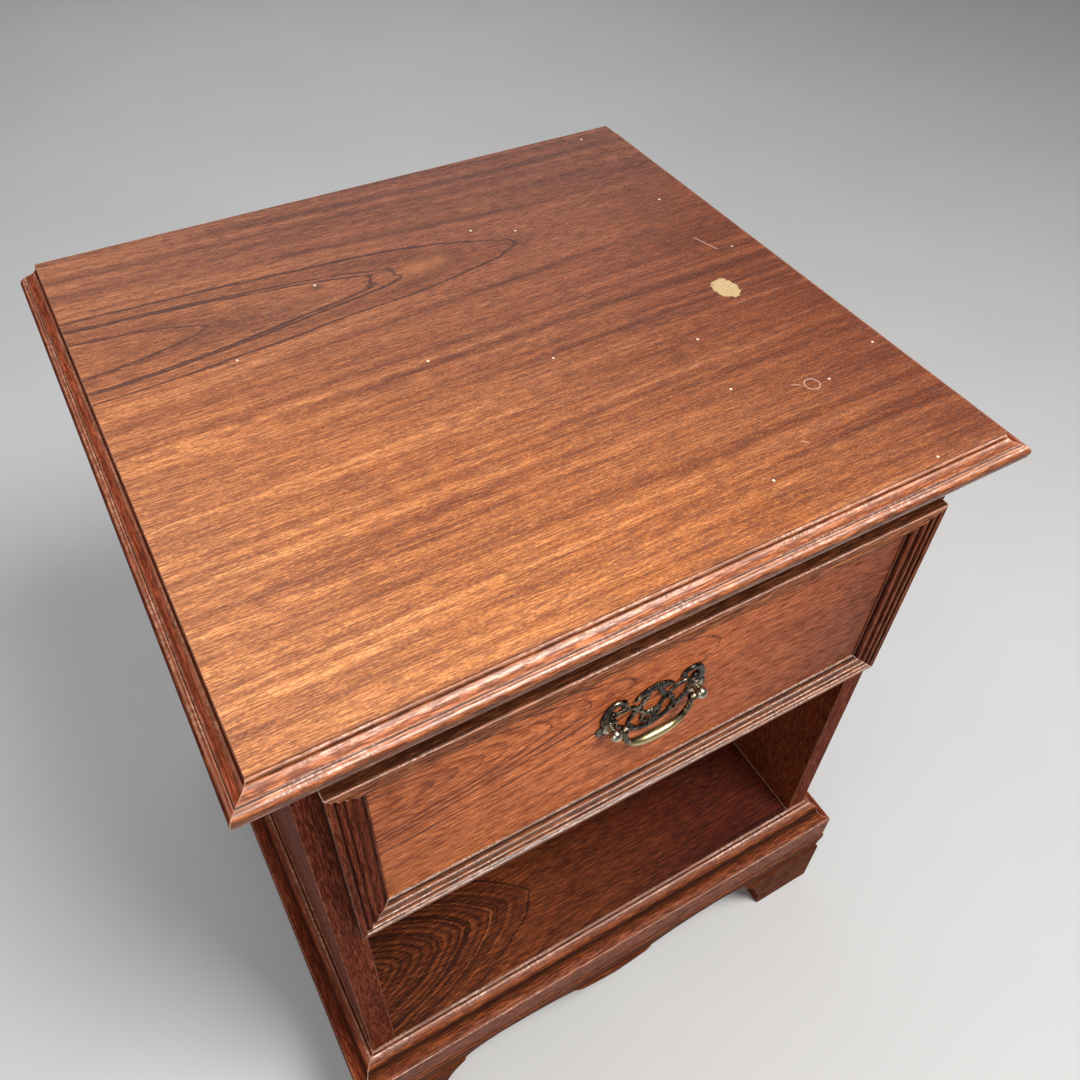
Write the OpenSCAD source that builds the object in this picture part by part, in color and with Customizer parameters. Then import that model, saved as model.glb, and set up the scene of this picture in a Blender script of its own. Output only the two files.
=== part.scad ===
// Bedside table in a Georgian style: moulded overhanging top, one drawer with a
// reeded frame and a swinging bail pull, an open compartment, and a moulded base
// on bracket feet. Origin on the floor under the middle of the top; +Y is the back.

/* [Overall] */
// Width over the top's mouldings
overall_w = 492; // [440:1:560]
// Depth from the top's front moulding to its back edge
overall_d = 458; // [420:1:520]
// Height above the floor
overall_h = 610; // [540:1:680]

/* [Top] */
// Thickness of the top
top_t = 16; // [14:0.5:20]
// Width of the moulded edge on the front and sides
top_edge_w = 13; // [11:0.5:16]

/* [Case] */
// Width over the case's sides
case_w = 438; // [400:1:446]
// Distance from the top's front edge back to the case's front
front_overhang = 23.5; // [21:0.5:30]
// Distance from the top's back edge in to the case's back
back_overhang = 4; // [2:0.5:20]
// Thickness of the case's sides
panel_t = 19; // [17:0.5:20]
// Height of the shelf's upper face above the floor
shelf_z = 143.5; // [135:0.5:155]

/* [Base] */
// Height of the plinth boards that are cut into bracket feet
plinth_h = 91; // [88:0.5:96]
// How far the base moulding stands out from the case
base_out = 21.4; // [20:0.2:22]

/* [Drawer] */
// Height of the drawer front over its frame
drawer_front_h = 174; // [165:1:178]
// Width of the drawer front over its frame
drawer_front_w = 410; // [408:1:412]
// Gap between the top's underside and the drawer front
drawer_gap = 31; // [28:0.5:34]
// Width of the reeded frame round the drawer's panel
frame_w = 22; // [20:0.5:24]

/* [Handle] */
// Distance between the two posts
post_centres = 62; // [60:0.5:76]
// Height of the posts above the floor
handle_z = 487; // [470:1:490]
// Place of the handle across the drawer, from the middle
handle_x = -3.5; // [-8:0.5:8]

/* [Hidden] */
$fn = 48;

// colours
solid_wood = [0.42, 0.17, 0.09];
veneer = [0.63, 0.30, 0.15];
shade_wood = [0.30, 0.12, 0.07];
inner_wood = [0.72, 0.55, 0.36];
ply = [0.66, 0.50, 0.33];
dark_bronze = [0.16, 0.13, 0.10];
old_brass = [0.62, 0.53, 0.30];
steel = [0.62, 0.62, 0.64];

// planes of the case
front_edge_y = -overall_d / 2;
back_edge_y = overall_d / 2;
case_y0 = front_edge_y + front_overhang;
case_y1 = back_edge_y - back_overhang;
case_hw = case_w / 2;
inner_hw = case_hw - panel_t;
case_z0 = plinth_h;
case_z1 = overall_h - top_t;
flat_hw = overall_w / 2 - top_edge_w;
flat_y0 = front_edge_y + top_edge_w;

// back panel in its rebate
back_t = 4;
rebate_w = 9;
rebate_d = 5;
inner_y1 = case_y1 - rebate_d;

// rails, runners and cleats
top_rail_h = 36;
top_rail_t = 22;
rail_t = 19;
rail_w = 60;
runner_w = 22;
cleat = 20;
shelf_t = 18;
frame_lap = 5;
top_rail_z0 = case_z1 - top_rail_h;

// drawer: the front board fits the opening, the frame laps over its edge
front_z1 = case_z1 - drawer_gap;
front_z0 = front_z1 - drawer_front_h;
front_hw = drawer_front_w / 2;
drawer_rail_z1 = front_z0 + frame_lap;
drawer_rail_z0 = drawer_rail_z1 - rail_t;
lip = 7;
lip_gap = 1;
rim_h = 7;
lip_t = 11.5;
front_y = case_y0 - lip_gap - lip_t;
panel_y = front_y + rim_h;
board_t = 19;
board_y1 = panel_y + board_t;
box_side_t = 12;
box_hw = inner_hw - 2.5;
box_z0 = drawer_rail_z1 + 0.4;
box_z1 = box_z0 + 156;
box_y1 = 190;
dovetail = 8;
groove = 6;
bottom_t = 4;
bottom_z0 = box_z0 + 7;
fit = 0.1;
screw_recess = 3;
top_screw_len = top_rail_h - screw_recess + 10;

// handle
post_hs = post_centres / 2;
pivot_out = 8;
pivot_y = panel_y - pivot_out;
plate_t = 1.8;
ball_r = 4.2;
pin_r = 1.5;
bore_r = 1.56;
shank_r = 2;
bail_arm_x = post_hs - 7;
bail_drop = 23;
bail_end_r = 2;
bail_mid_r = 3.4;
nut_t = 3.2;
washer_t = 0.8;

// bracket feet: distances in from a plinth board's corner
toe_in = 63;
toe_top = 24;
shoulder_in = 71;
shoulder_z = 31;
arch_in = 125;
arch_z = 80.5;
pendant_z = 57;

// ---------- outlines ----------

// Points on an elliptical arc
function arc(c, rx, ry, a0, a1, n) =
    [for (i = [0:n]) let (a = a0 + (a1 - a0) * i / n) [c[0] + rx * cos(a), c[1] + ry * sin(a)]];

// A rounded reed between two grooves
function reed(t0, t1, h0, h1, rise) =
    [for (i = [0:6]) let (u = i / 6) [t0 + (t1 - t0) * u, h0 + (h1 - h0) * u + rise * sin(180 * u)]];

// Section of the top's edge: outward, and down from the top
top_section = concat(
    [[0, -top_t], [top_edge_w - 0.8, -top_t]],
    arc([top_edge_w - 4.4, -12.2], 4.4, 4.4, -30, 90, 12),
    [[top_edge_w - 5, -7.8]],
    arc([top_edge_w - 5, -2], top_edge_w - 5.4, 5, 270, 180, 10),
    [[0, -2]]);

// Section of the base moulding: outward, and height above the floor
plinth_out = base_out + 1.6;
base_section = concat(
    [[0, plinth_h], [base_out + 1, plinth_h], [base_out + 0.8, shelf_z - 32], [base_out, shelf_z - 21]],
    arc([base_out - 0.8, shelf_z - 9.5], 10.1, 10.2, 270, 180, 8),
    arc([2, shelf_z - 9.5], base_out - 12.9, 8.6, 10, 90, 8),
    [[1.6, shelf_z - 0.9], [1.6, shelf_z + 1], [0, shelf_z + 1]]);

// Section of the plinth boards: a shallow hollow over a ledge, then a plain face
plinth_in = 3;
ledge_z = plinth_h - 27;
plinth_section = concat(
    [[plinth_in, 0], [plinth_out, 0], [base_out + 1.2, ledge_z], [base_out + 0.6, ledge_z + 1.4],
     [base_out - 0.5, ledge_z + 2]],
    [for (i = [0:6]) let (u = i / 6) [base_out - 0.5 + 1.5 * u * u * (3 - 2 * u), ledge_z + 4 + 20 * u]],
    [[base_out + 1, plinth_h], [plinth_in, plinth_h]]);

// Section of the drawer's frame: in from its outer edge, and out from the panel
frame_section = concat(
    [[0, rim_h - lip_t], [0, rim_h - 1], [0.9, rim_h], [4.1, rim_h], [4.8, 5.4], [5.2, 5.3]],
    reed(5.5, 9.1, 5.7, 5.0, 1.1),
    [[9.5, 4.3]],
    reed(9.9, 13.5, 4.7, 3.9, 1.1),
    [[13.9, 3.2]],
    reed(14.3, 20.2, 3.5, 1.3, 1.0),
    [[20.7, 0.8], [frame_w - 0.6, 1.0], [frame_w, 0.6], [frame_w, 0], [lip, 0], [lip, rim_h - lip_t]]);

// Lower edge of a plinth board, from its middle out to one toe
function arch(hl) = concat(
    [for (i = [0:16]) let (u = i / 16)
        [(hl - arch_in) * u, pendant_z + (arch_z - pendant_z) * pow(sin(90 * u), 1.5)]],
    [for (i = [1:14]) let (u = sin(90 * i / 14))
        [hl - arch_in + (arch_in - shoulder_in) * u,
         shoulder_z + (arch_z - shoulder_z) * pow(1 - pow(u, 1.7), 1 / 1.7)]],
    [[hl - toe_in - 2.5, toe_top], [hl - toe_in, 0]]);

// ---------- shared shapes ----------

// A moulding along X: p runs forwards from the plane y
module run_x(section, hl, y) {
    translate([-hl, y, 0])
        rotate([90, 0, 90])
            linear_extrude(height = 2 * hl)
                polygon([for (q = section) [-q[0], q[1]]]);
}

// A moulding along Y on the left (side -1) or right (side 1)
module run_y(section, side, x, y0, y1) {
    translate([side * x, y1, 0])
        rotate([90, 0, 0])
            linear_extrude(height = y1 - y0)
                polygon([for (q = section) [side * q[0], q[1]]]);
}

// The wedge that mitres a front piece to its two side pieces
module front_mitre(hw, y, w, z1) {
    linear_extrude(height = z1)
        polygon([[-hw - w, y - w], [hw + w, y - w], [hw, y], [hw - w, y + w], [-hw + w, y + w], [-hw, y]]);
}

module side_mitre(side, hw, y0, y1, w, z1) {
    linear_extrude(height = z1)
        polygon([[side * (hw + w), y0 - w], [side * (hw + w), y1], [side * (hw - w), y1],
                 [side * (hw - w), y0 + w]]);
}

module board(x0, x1, y0, y1, z0, z1) {
    translate([x0, y0, z0])
        cube([x1 - x0, y1 - y0, z1 - z0]);
}

// A board beside one of the case's sides: a and b are distances from the middle
module side_board(side, a, b, y0, y1, z0, z1) {
    translate([side > 0 ? a : -b, y0, z0])
        cube([b - a, y1 - y0, z1 - z0]);
}

// ---------- top ----------

top_screw_spots = [for (x = [-120, 120], y = [case_y0 + 11, inner_y1 - 11]) [x, y]];

module top_panel() {
    color(veneer)
        difference() {
            board(-flat_hw, flat_hw, flat_y0, back_edge_y, case_z1, overall_h);
            for (p = top_screw_spots)
                translate([p[0], p[1], case_z1 - 1])
                    cylinder(h = 11.2, r = 2 + fit);
        }
}

module top_moulding_front() {
    color(solid_wood)
        intersection() {
            translate([0, 0, overall_h])
                run_x(top_section, overall_w / 2, flat_y0);
            front_mitre(flat_hw, flat_y0, top_edge_w, overall_h + 1);
        }
}

module top_moulding_side(side) {
    color(solid_wood)
        intersection() {
            translate([0, 0, overall_h])
                run_y(top_section, side, flat_hw, front_edge_y, back_edge_y);
            side_mitre(side, flat_hw, flat_y0, back_edge_y, top_edge_w, overall_h + 1);
        }
}

module top_moulding_left() {
    top_moulding_side(-1);
}

module top_moulding_right() {
    top_moulding_side(1);
}

// ---------- case ----------

module side_panel(side) {
    color(solid_wood)
        difference() {
            side_board(side, inner_hw, case_hw, case_y0, case_y1, case_z0, case_z1);
            side_board(side, inner_hw - 1, inner_hw + rebate_w, inner_y1, case_y1 + 1, case_z0 - 1, case_z1 + 1);
        }
}

module side_panel_left() {
    side_panel(-1);
}

module side_panel_right() {
    side_panel(1);
}

module back_panel() {
    color(ply)
        board(-inner_hw - rebate_w + 0.5, inner_hw + rebate_w - 0.5, inner_y1, inner_y1 + back_t,
              case_z0 + 4, case_z1);
}

// Round-headed pins whose heads lie on the back panel
module back_pins() {
    edge_x = inner_hw - 8;
    spots = concat(
        [for (x = [-edge_x : edge_x / 2 : edge_x], z = [case_z1 - 14, case_z0 + 20]) [x, z]],
        [for (x = [-edge_x, edge_x]) [x, drawer_rail_z0 + 9.5]]);
    color(steel)
        for (p = spots)
            translate([p[0], inner_y1 + back_t, p[1]])
                rotate([-90, 0, 0])
                    cylinder(h = 0.9, r1 = 2.6, r2 = 1.4);
}

module top_rail(y0) {
    color(shade_wood)
        difference() {
            board(-inner_hw, inner_hw, y0, y0 + top_rail_t, top_rail_z0, case_z1);
            for (p = top_screw_spots)
                translate([p[0], p[1], top_rail_z0 - 1]) {
                    cylinder(h = top_rail_h + 2, r = 2 + fit);
                    cylinder(h = screw_recess + 1, r = 4 + 2 * fit);
                }
        }
}

module top_rail_front() {
    top_rail(case_y0);
}

module top_rail_rear() {
    top_rail(inner_y1 - top_rail_t);
}

// Pan-headed screws that hold the top down through both rails
module top_screws() {
    color(steel)
        for (p = top_screw_spots)
            translate([p[0], p[1], top_rail_z0 + screw_recess]) {
                cylinder(h = top_screw_len, r = 2);
                translate([0, 0, -2.4])
                    difference() {
                        cylinder(h = 2.4, r = 4);
                        translate([-5, -0.5, -0.1])
                            cube([10, 1, 1.1]);
                    }
            }
}

module kicker(side) {
    color(inner_wood)
        side_board(side, inner_hw - runner_w, inner_hw, case_y0 + top_rail_t, inner_y1 - top_rail_t,
                   top_rail_z0, top_rail_z0 + rail_t);
}

module kicker_left() {
    kicker(-1);
}

module kicker_right() {
    kicker(1);
}

module drawer_rail(y0) {
    color(shade_wood)
        board(-inner_hw, inner_hw, y0, y0 + rail_w, drawer_rail_z0, drawer_rail_z1);
}

module drawer_rail_front() {
    drawer_rail(case_y0);
}

module drawer_rail_rear() {
    drawer_rail(inner_y1 - rail_w);
}

module runner(side) {
    color(inner_wood)
        side_board(side, inner_hw - runner_w, inner_hw, case_y0 + rail_w, inner_y1 - rail_w,
                   drawer_rail_z0, drawer_rail_z1);
}

module runner_left() {
    runner(-1);
}

module runner_right() {
    runner(1);
}

module shelf_board() {
    color(veneer)
        board(-inner_hw, inner_hw, case_y0, inner_y1, shelf_z - shelf_t, shelf_z);
}

module shelf_cleat(side) {
    color(inner_wood)
        side_board(side, inner_hw - cleat, inner_hw, case_y0 + rail_t, inner_y1 - rail_t,
                   shelf_z - shelf_t - cleat, shelf_z - shelf_t);
}

module shelf_cleat_left() {
    shelf_cleat(-1);
}

module shelf_cleat_right() {
    shelf_cleat(1);
}

module bottom_rail(y0) {
    color(inner_wood)
        board(-inner_hw, inner_hw, y0, y0 + rail_t, case_z0, shelf_z - shelf_t);
}

module bottom_rail_front() {
    bottom_rail(case_y0);
}

module bottom_rail_rear() {
    bottom_rail(inner_y1 - rail_t);
}

// ---------- base ----------

module base_moulding_front() {
    color(solid_wood)
        intersection() {
            run_x(base_section, case_hw + base_out, case_y0);
            front_mitre(case_hw, case_y0, base_out, overall_h);
        }
}

module base_moulding_side(side) {
    color(solid_wood)
        intersection() {
            run_y(base_section, side, case_hw, case_y0 - base_out, case_y1);
            side_mitre(side, case_hw, case_y0, case_y1, base_out, overall_h);
        }
}

module base_moulding_left() {
    base_moulding_side(-1);
}

module base_moulding_right() {
    base_moulding_side(1);
}

// The opening under a plinth board, between its two feet
module arch_opening(hl, w) {
    half = arch(hl);
    count = len(half);
    linear_extrude(height = w)
        polygon(concat(
            [for (q = half) q],
            [[hl - toe_in, -1], [toe_in - hl, -1]],
            [for (i = [count - 1 : -1 : 1]) [-half[i][0], half[i][1]]]));
}

plinth_hl = case_hw + plinth_out;
plinth_mid_y = (case_y0 - plinth_out + case_y1) / 2;
plinth_side_hl = (case_y1 - case_y0 + plinth_out) / 2;

module plinth_front() {
    color(solid_wood)
        difference() {
            intersection() {
                run_x(plinth_section, plinth_hl, case_y0);
                front_mitre(case_hw, case_y0, plinth_out, overall_h);
            }
            translate([0, case_y0 + 1, 0])
                rotate([90, 0, 0])
                    arch_opening(plinth_hl, plinth_out + 2);
        }
}

module plinth_side(side) {
    color(solid_wood)
        difference() {
            intersection() {
                run_y(plinth_section, side, case_hw, case_y0 - plinth_out, case_y1);
                side_mitre(side, case_hw, case_y0, case_y1, plinth_out, overall_h);
            }
            translate([side > 0 ? case_hw - 1 : -case_hw - plinth_out - 1, plinth_mid_y, 0])
                rotate([90, 0, 90])
                    arch_opening(plinth_side_hl, plinth_out + 2);
        }
}

module plinth_left() {
    plinth_side(-1);
}

module plinth_right() {
    plinth_side(1);
}

// A plain board between the side plinths, with a straight opening
module plinth_rear() {
    rear_foot = 60;
    gap_hw = case_hw + plinth_in - rear_foot;
    round_r = 14;
    color(shade_wood)
        difference() {
            board(-case_hw - plinth_in, case_hw + plinth_in, case_y1 - 16, case_y1, 0, plinth_h);
            board(-gap_hw, gap_hw, case_y1 - 17, case_y1 + 1, -1, 45 - round_r);
            board(-gap_hw + round_r, gap_hw - round_r, case_y1 - 17, case_y1 + 1, -1, 45);
            for (s = [-1, 1])
                translate([s * (gap_hw - round_r), case_y1 + 1, 45 - round_r])
                    rotate([90, 0, 0])
                        cylinder(h = 18, r = round_r);
        }
}

// Square blocks glued inside the four corners; they carry the case
block = 26;
block_lift = 3;
block_front_y = case_y0 - plinth_in;
block_rear_y = case_y1 - 16 - block;

module corner_blocks() {
    color(inner_wood)
        for (s = [-1, 1], y = [block_front_y, block_rear_y])
            side_board(s, case_hw + plinth_in - block, case_hw + plinth_in, y, y + block,
                       block_lift, plinth_h);
}

module base_cleat(side) {
    color(inner_wood)
        side_board(side, case_hw + plinth_in - cleat, case_hw + plinth_in, block_front_y + block, block_rear_y,
                   plinth_h - cleat, plinth_h);
}

module base_cleat_left() {
    base_cleat(-1);
}

module base_cleat_right() {
    base_cleat(1);
}

// ---------- drawer ----------

tail_count = 4;
tail_pitch = (box_z1 - box_z0 - 8) / tail_count;

// Tails of the lapped dovetails, cut through one drawer side
module tails(side) {
    for (i = [0 : tail_count - 1])
        translate([side > 0 ? box_hw - box_side_t : -box_hw, board_y1, box_z0 + 4 + tail_pitch * (i + 0.5)])
            rotate([90, 0, 90])
                linear_extrude(height = box_side_t)
                    polygon([[0, -10], [0, 10], [-dovetail, 13.5], [-dovetail, -13.5]]);
}

module post_holes(y0, y1, r) {
    for (s = [-1, 1])
        translate([handle_x + s * post_hs, y1, handle_z])
            rotate([90, 0, 0])
                cylinder(h = y1 - y0, r = r);
}

module drawer_front_board() {
    color(veneer)
        difference() {
            board(-front_hw + lip, front_hw - lip, panel_y, board_y1, front_z0 + lip, front_z1 - lip);
            tails(-1);
            tails(1);
            post_holes(panel_y - 1, board_y1 + 1, shank_r + fit);
            board(-box_hw + box_side_t - groove, box_hw - box_side_t + groove, board_y1 - groove,
                  board_y1 + 1, bottom_z0 - fit, bottom_z0 + bottom_t + fit);
        }
}

// One piece of the frame along X, at the top (side 1) or bottom (side -1)
module frame_x(side) {
    z_edge = side > 0 ? front_z1 : front_z0;
    color(solid_wood)
        intersection() {
            translate([-front_hw, panel_y, z_edge])
                rotate([90, 0, 90])
                    linear_extrude(height = drawer_front_w)
                        polygon([for (q = frame_section) [-q[1], -side * q[0]]]);
            translate([0, case_y0, z_edge])
                rotate([90, 0, 0])
                    linear_extrude(height = 20)
                        polygon([[-front_hw, 0], [front_hw, 0], [front_hw - frame_w, -side * frame_w],
                                 [frame_w - front_hw, -side * frame_w]]);
        }
}

// One piece of the frame along Z, on the left (side -1) or right (side 1)
module frame_z(side) {
    color(solid_wood)
        intersection() {
            translate([side * front_hw, panel_y, front_z0])
                linear_extrude(height = drawer_front_h)
                    polygon([for (q = frame_section) [-side * q[0], -q[1]]]);
            translate([side * front_hw, case_y0, 0])
                rotate([90, 0, 0])
                    linear_extrude(height = 20)
                        polygon([[0, front_z0], [0, front_z1], [-side * frame_w, front_z1 - frame_w],
                                 [-side * frame_w, front_z0 + frame_w]]);
        }
}

module drawer_frame_top() {
    frame_x(1);
}

module drawer_frame_bottom() {
    frame_x(-1);
}

module drawer_frame_left() {
    frame_z(-1);
}

module drawer_frame_right() {
    frame_z(1);
}

module drawer_side(side) {
    color(inner_wood)
        difference() {
            union() {
                side_board(side, box_hw - box_side_t, box_hw, board_y1, box_y1, box_z0, box_z1);
                tails(side);
            }
            side_board(side, box_hw - box_side_t - 1, box_hw - box_side_t + groove, board_y1 - dovetail - 1,
                       box_y1 + 1, bottom_z0 - fit, bottom_z0 + bottom_t + fit);
        }
}

module drawer_side_left() {
    drawer_side(-1);
}

module drawer_side_right() {
    drawer_side(1);
}

back_board_y0 = box_y1 - 14;
bottom_screw_x = [-130, 0, 130];

module drawer_back() {
    color(inner_wood)
        difference() {
            board(-box_hw + box_side_t, box_hw - box_side_t, back_board_y0, back_board_y0 + 12,
                  bottom_z0 + bottom_t + fit, box_z1 - 6);
            for (x = bottom_screw_x)
                translate([x, back_board_y0 + 6, bottom_z0])
                    cylinder(h = 16.2, r = 1.75 + fit);
        }
}

module drawer_bottom() {
    hw = box_hw - box_side_t + groove - 0.3;
    color(ply)
        difference() {
            board(-hw, hw, board_y1 - groove + 0.3, box_y1, bottom_z0, bottom_z0 + bottom_t);
            for (x = bottom_screw_x)
                translate([x, back_board_y0 + 6, bottom_z0 - 1])
                    cylinder(h = bottom_t + 2, r = 1.75 + fit);
        }
}

module drawer_bottom_screws() {
    color(steel)
        for (x = bottom_screw_x)
            translate([x, back_board_y0 + 6, bottom_z0]) {
                cylinder(h = 16, r = 1.75);
                translate([0, 0, -2])
                    cylinder(h = 2, r1 = 2.6, r2 = 3.4);
            }
}

// ---------- handle ----------

// A flat strip that follows a smooth line through the points p, with the widths w
strip_steps = 4;
function smooth(p, i, u) =
    let (n = len(p) - 1, a = p[max(0, i - 1)], b = p[i], c = p[min(n, i + 1)], d = p[min(n, i + 2)])
    0.5 * (2 * b + (c - a) * u + (2 * a - 5 * b + 4 * c - d) * u * u + (3 * b - a - 3 * c + d) * u * u * u);

module strip(p, w) {
    n = (len(p) - 1) * strip_steps;
    mid = [for (i = [0:n]) smooth(p, floor(i / strip_steps), i / strip_steps - floor(i / strip_steps))];
    hw = [for (i = [0:n]) let (k = floor(i / strip_steps), u = i / strip_steps - k)
        (w[k] + (w[min(len(w) - 1, k + 1)] - w[k]) * u) / 2];
    side = [for (i = [0:n]) let (t = mid[min(n, i + 1)] - mid[max(0, i - 1)]) [-t[1], t[0]] / norm(t)];
    polygon(concat(
        [for (i = [0:n]) mid[i] + hw[i] * side[i]],
        [for (i = [n:-1:0]) mid[i] - hw[i] * side[i]]));
}

// Half of the pierced plate, drawn from its middle out to the right
module plate_half() {
    // rosette under the post and the rounded lobe beside it
    translate([post_hs, 0])
        circle(r = 5.8);
    translate([post_hs + 3.8, -2])
        circle(r = 5);
    // hooked ear
    strip([[31, 2], [34.5, 8], [34.4, 14], [32, 19], [27.6, 21.4], [23, 20.2], [20.6, 17], [21.8, 14.8]],
          [7, 6.4, 5, 4.4, 4, 3.6, 3, 2.4]);
    // scroll from the ear in to the heart
    strip([[34, 6.4], [24, 9.6], [16.4, 8.8], [11, 4.4], [6.6, -2.3], [2, -6.5], [-3, -9]],
          [5, 3.6, 3.6, 3.4, 3.2, 3, 2.4]);
    // crown and its leg
    strip([[-1, 20], [4, 19.6], [9, 17.8], [13.8, 14.6]], [5, 4.9, 4.2, 2.4]);
    strip([[4.4, 19], [5.6, 11.6], [10, 4.4], [14.4, -0.2], [16.4, -5], [16, -9], [13.6, -13.8]],
          [5, 4, 3.4, 3.2, 3, 3, 3.4]);
    // heart and its stem
    strip([[-1, -4.6], [4.6, -5.6], [6.8, -9.4], [4.6, -13.2], [-1, -16.4]], [2.6, 2.8, 2.8, 2.8, 3]);
    strip([[0, -15], [0, -22]], [4.4, 5.2]);
    // swag along the bottom
    strip([[31, 0], [25, -5.6], [17.4, -12.4], [9, -18.2], [-1, -21.8]], [6, 4.2, 4, 4, 4.4]);
}

module handle_backplate() {
    color(dark_bronze)
        translate([handle_x, panel_y, handle_z])
            rotate([90, 0, 0])
                linear_extrude(height = plate_t)
                    difference() {
                        union() {
                            plate_half();
                            mirror([1, 0])
                                plate_half();
                        }
                        for (s = [-1, 1])
                            translate([s * post_hs, 0])
                                circle(r = shank_r + fit);
                    }
}

// Turned post: shank, flange, neck, and a ball with a blind hole for the bail's pin
module handle_post(side) {
    shank_in = board_t + 7;
    neck_r = 2.7;
    neck_a = acos(neck_r / ball_r);
    color(dark_bronze)
        translate([handle_x + side * post_hs, panel_y, handle_z])
            mirror([side > 0 ? 1 : 0, 0, 0])
            difference() {
                rotate([90, 0, 0])
                    rotate_extrude()
                        polygon(concat(
                            [[0, -shank_in], [shank_r, -shank_in], [shank_r, plate_t], [5.2, plate_t],
                             [5.2, plate_t + 0.8], [4.2, plate_t + 1.6], [neck_r, plate_t + 2]],
                            [for (i = [0:10]) let (a = -neck_a + (90 + neck_a) * i / 10)
                                [ball_r * cos(a), pivot_out + ball_r * sin(a)]]));
                translate([ball_r + 1, -pivot_out, 0])
                    rotate([0, -90, 0])
                        cylinder(h = ball_r + 1.8, r = bore_r);
            }
}

module handle_post_left() {
    handle_post(-1);
}

module handle_post_right() {
    handle_post(1);
}

module handle_washers() {
    color(steel)
        for (s = [-1, 1])
            translate([handle_x + s * post_hs, board_y1 + washer_t, handle_z])
                rotate([90, 0, 0])
                    difference() {
                        cylinder(h = washer_t, r = 5);
                        translate([0, 0, -1])
                            cylinder(h = washer_t + 2, r = shank_r + fit);
                    }
}

module handle_nuts() {
    color(steel)
        for (s = [-1, 1])
            translate([handle_x + s * post_hs, board_y1 + washer_t + nut_t, handle_z])
                rotate([90, 0, 0])
                    difference() {
                        cylinder(h = nut_t, r = 4, $fn = 6);
                        translate([0, 0, -1])
                            cylinder(h = nut_t + 2, r = shank_r + fit, $fn = 48);
                    }
}

// Centre line of the hanging bail, and its radius, from one arm to the other
bail_rings = 40;
bail_sides = 12;
bail_power = 0.74;
function bail_point(u) =
    let (c = cos(180 * u), s = sin(180 * u))
    [bail_arm_x * sign(c) * pow(abs(c), bail_power), 0, -bail_drop * pow(s, bail_power)];
function bail_radius(u) = bail_end_r + (bail_mid_r - bail_end_r) * pow(sin(180 * u), 4);
function bail_heading(u) =
    let (d = 0.01, p = bail_point(max(0, u - d)), q = bail_point(min(1, u + d)))
    (q - p) / norm(q - p);

module bail_bar() {
    n = bail_sides;
    points = [for (i = [0 : bail_rings], k = [0 : n - 1])
        let (u = i / bail_rings, t = bail_heading(u), a = 360 * k / n)
        bail_point(u) + bail_radius(u) * [cos(a) * t[2], sin(a), -cos(a) * t[0]]];
    walls = [for (i = [0 : bail_rings - 1], k = [0 : n - 1])
        [i * n + k, (i + 1) * n + k, (i + 1) * n + (k + 1) % n, i * n + (k + 1) % n]];
    start = [for (k = [0 : n - 1]) k];
    end = [for (k = [n - 1 : -1 : 0]) bail_rings * n + k];
    polyhedron(points = points, faces = concat(walls, [start, end]), convexity = 6);
}

// The bar between two round eyes, each with a pin that turns in its post
module handle_bail() {
    eye_r = 2.7;
    eye_in = 1.7;
    eye_out = post_hs - ball_r - 0.4 - bail_arm_x;
    pin_len = post_hs - bail_arm_x + 0.4;
    color(old_brass)
        translate([handle_x, pivot_y, handle_z]) {
            bail_bar();
            for (s = [-1, 1])
                translate([s * bail_arm_x, 0, 0])
                    rotate([0, s * 90, 0]) {
                        translate([0, 0, -eye_in])
                            cylinder(h = eye_in + eye_out, r = eye_r);
                        cylinder(h = pin_len, r = pin_r);
                    }
        }
}

top_panel();
top_moulding_front();
top_moulding_left();
top_moulding_right();
side_panel_left();
side_panel_right();
back_panel();
back_pins();
top_rail_front();
top_rail_rear();
top_screws();
kicker_left();
kicker_right();
drawer_rail_front();
drawer_rail_rear();
runner_left();
runner_right();
shelf_board();
shelf_cleat_left();
shelf_cleat_right();
bottom_rail_front();
bottom_rail_rear();
base_moulding_front();
base_moulding_left();
base_moulding_right();
plinth_front();
plinth_left();
plinth_right();
plinth_rear();
corner_blocks();
base_cleat_left();
base_cleat_right();
drawer_front_board();
drawer_frame_top();
drawer_frame_bottom();
drawer_frame_left();
drawer_frame_right();
drawer_side_left();
drawer_side_right();
drawer_back();
drawer_bottom();
drawer_bottom_screws();
handle_backplate();
handle_post_left();
handle_post_right();
handle_washers();
handle_nuts();
handle_bail();
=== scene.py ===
"""Bedside table: materials, edge softening, cast handle, floor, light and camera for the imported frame."""
import math

import bmesh
import bpy
from mathutils import Matrix, Vector


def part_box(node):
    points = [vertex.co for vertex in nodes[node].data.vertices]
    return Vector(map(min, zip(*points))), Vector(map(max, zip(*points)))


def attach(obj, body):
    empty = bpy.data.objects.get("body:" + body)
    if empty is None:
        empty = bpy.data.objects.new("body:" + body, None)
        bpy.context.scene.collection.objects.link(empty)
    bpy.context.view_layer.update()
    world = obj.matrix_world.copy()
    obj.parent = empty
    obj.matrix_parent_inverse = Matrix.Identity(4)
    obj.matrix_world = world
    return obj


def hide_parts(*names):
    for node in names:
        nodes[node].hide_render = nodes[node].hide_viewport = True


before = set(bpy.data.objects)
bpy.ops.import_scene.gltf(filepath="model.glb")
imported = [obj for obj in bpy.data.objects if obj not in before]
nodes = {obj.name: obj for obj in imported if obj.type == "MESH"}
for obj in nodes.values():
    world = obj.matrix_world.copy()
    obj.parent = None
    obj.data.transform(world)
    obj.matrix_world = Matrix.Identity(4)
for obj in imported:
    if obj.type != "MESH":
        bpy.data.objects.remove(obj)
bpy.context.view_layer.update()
MM = 0.001
X, Y, Z = 0, 1, 2

# ---------------------------------------------------------------- places in the frame, in mm


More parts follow.
